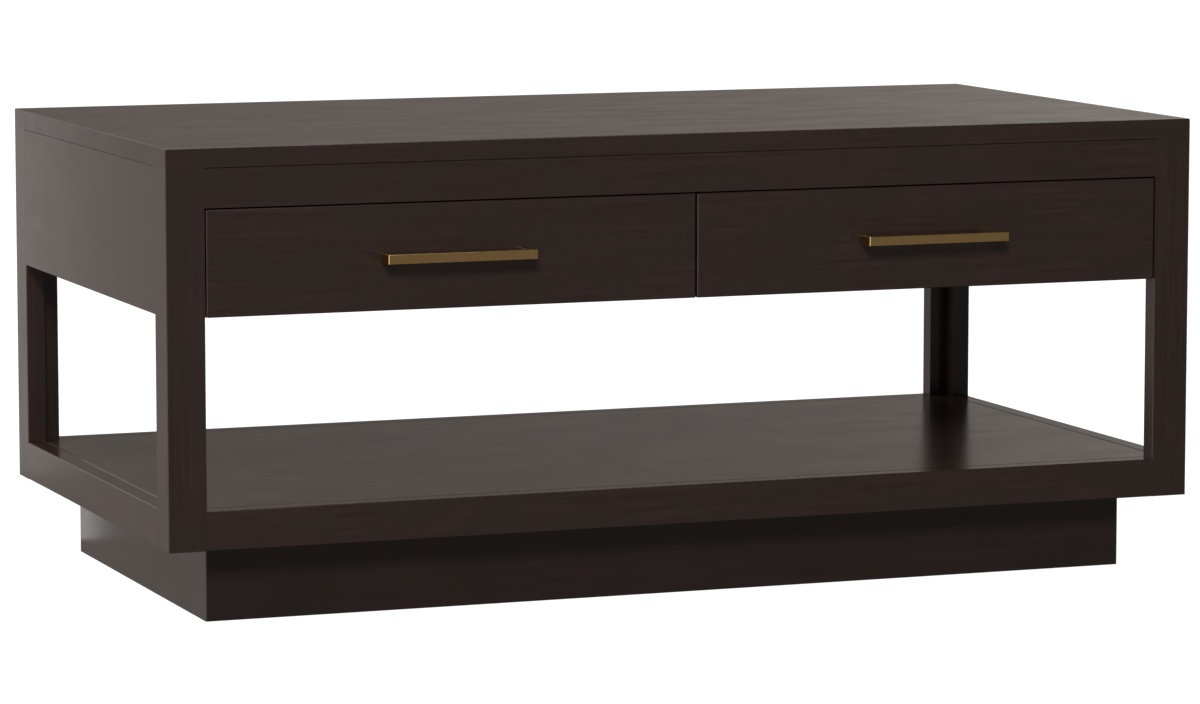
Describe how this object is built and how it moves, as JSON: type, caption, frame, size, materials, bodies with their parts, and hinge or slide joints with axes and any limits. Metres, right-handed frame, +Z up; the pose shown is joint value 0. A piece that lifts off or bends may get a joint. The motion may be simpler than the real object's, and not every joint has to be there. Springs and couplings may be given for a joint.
{
  "type": "coffee table",
  "caption": "Low rectangular dark-stained wood coffee table with inset drawers on ball slides over an open shelf, on a recessed plinth, with brass bar pulls.",
  "frame": {"origin": "on the floor, in the middle of the table's width and of its depth with the pulls", "axes": "+X to the right seen from the drawers' side, +Y from the drawers to the back, +Z up"},
  "size_m": [1.0668, 0.5838, 0.4572],
  "materials": {
    "stained_wood": "dark espresso stain under satin lacquer",
    "frame_wood": "dark stain, unpolished",
    "drawer_wood": "clear matt lacquer on birch",
    "drawer_plywood": "clear matt lacquer on birch plywood",
    "brushed_brass": "brushed, satin",
    "slide_steel": "bright zinc plate",
    "cage_steel": "plain",
    "screw_steel": "zinc plate",
    "bumper_rubber": "moulded, matt"
  },
  "bodies": {
    "case": {"top_panel": "stained_wood", "front_left_post": "stained_wood", "front_right_post": "stained_wood", "back_left_post": "stained_wood", "back_right_post": "stained_wood", "left_apron": "stained_wood", "right_apron": "stained_wood", "back_apron": "stained_wood", "front_top_rail": "stained_wood", "centre_divider": "stained_wood", "left_slide_cleat": "stained_wood", "right_slide_cleat": "stained_wood", "front_base_rail": "stained_wood", "back_base_rail": "stained_wood", "left_base_rail": "stained_wood", "right_base_rail": "stained_wood", "shelf_panel": "stained_wood", "plinth_front": "stained_wood", "plinth_back": "stained_wood", "plinth_left": "stained_wood", "plinth_right": "stained_wood", "front_bearer": "frame_wood", "back_bearer": "frame_wood", "left_bearer": "frame_wood", "right_bearer": "frame_wood", "plinth_corner_blocks": "frame_wood", "top_battens": "frame_wood", "top_screws": "screw_steel", "case_slide_screws": "screw_steel", "slide_bumpers": "bumper_rubber", "left_drawer_case_members": "slide_steel", "right_drawer_case_members": "slide_steel"},
    "left_drawer": {"left_drawer_front": "stained_wood", "left_drawer_inner_front": "drawer_wood", "left_drawer_back": "drawer_wood", "left_drawer_left_side": "drawer_wood", "left_drawer_right_side": "drawer_wood", "left_drawer_bottom": "drawer_plywood", "left_drawer_pull": "brushed_brass", "left_drawer_pull_screws": "screw_steel", "left_drawer_front_screws": "screw_steel", "left_drawer_box_members": "slide_steel", "left_drawer_slide_screws": "screw_steel"},
    "left_drawer_middle_members": {"left_drawer_middle_members": "slide_steel"},
    "left_drawer_outer_cages": {"left_drawer_outer_cages": "cage_steel"},
    "left_drawer_inner_cages": {"left_drawer_inner_cages": "cage_steel"},
    "right_drawer": {"right_drawer_front": "stained_wood", "right_drawer_inner_front": "drawer_wood", "right_drawer_back": "drawer_wood", "right_drawer_left_side": "drawer_wood", "right_drawer_right_side": "drawer_wood", "right_drawer_bottom": "drawer_plywood", "right_drawer_pull": "brushed_brass", "right_drawer_pull_screws": "screw_steel", "right_drawer_front_screws": "screw_steel", "right_drawer_box_members": "slide_steel", "right_drawer_slide_screws": "screw_steel"},
    "right_drawer_middle_members": {"right_drawer_middle_members": "slide_steel"},
    "right_drawer_outer_cages": {"right_drawer_outer_cages": "cage_steel"},
    "right_drawer_inner_cages": {"right_drawer_inner_cages": "cage_steel"}
  },
  "joints": [
    {"name": "left_drawer_slide", "type": "slide", "parent": "case", "child": "left_drawer", "axis": [0, -1, 0], "range_m": [0, 0.45]},
    {"name": "left_drawer_middle_members_slide", "type": "slide", "parent": "case", "child": "left_drawer_middle_members", "axis": [0, -1, 0], "range_m": [0, 0.225]},
    {"name": "left_drawer_outer_cages_slide", "type": "slide", "parent": "case", "child": "left_drawer_outer_cages", "axis": [0, -1, 0], "range_m": [0, 0.1125]},
    {"name": "left_drawer_inner_cages_slide", "type": "slide", "parent": "case", "child": "left_drawer_inner_cages", "axis": [0, -1, 0], "range_m": [0, 0.3375]},
    {"name": "right_drawer_slide", "type": "slide", "parent": "case", "child": "right_drawer", "axis": [0, -1, 0], "range_m": [0, 0.45]},
    {"name": "right_drawer_middle_members_slide", "type": "slide", "parent": "case", "child": "right_drawer_middle_members", "axis": [0, -1, 0], "range_m": [0, 0.225]},
    {"name": "right_drawer_outer_cages_slide", "type": "slide", "parent": "case", "child": "right_drawer_outer_cages", "axis": [0, -1, 0], "range_m": [0, 0.1125]},
    {"name": "right_drawer_inner_cages_slide", "type": "slide", "parent": "case", "child": "right_drawer_inner_cages", "axis": [0, -1, 0], "range_m": [0, 0.3375]}
  ],
  "couplings": [
    {"joint": "left_drawer_middle_members_slide", "follows": "left_drawer_slide", "ratio": 0.5},
    {"joint": "left_drawer_outer_cages_slide", "follows": "left_drawer_slide", "ratio": 0.25},
    {"joint": "left_drawer_inner_cages_slide", "follows": "left_drawer_slide", "ratio": 0.75},
    {"joint": "right_drawer_middle_members_slide", "follows": "right_drawer_slide", "ratio": 0.5},
    {"joint": "right_drawer_outer_cages_slide", "follows": "right_drawer_slide", "ratio": 0.25},
    {"joint": "right_drawer_inner_cages_slide", "follows": "right_drawer_slide", "ratio": 0.75}
  ]
}
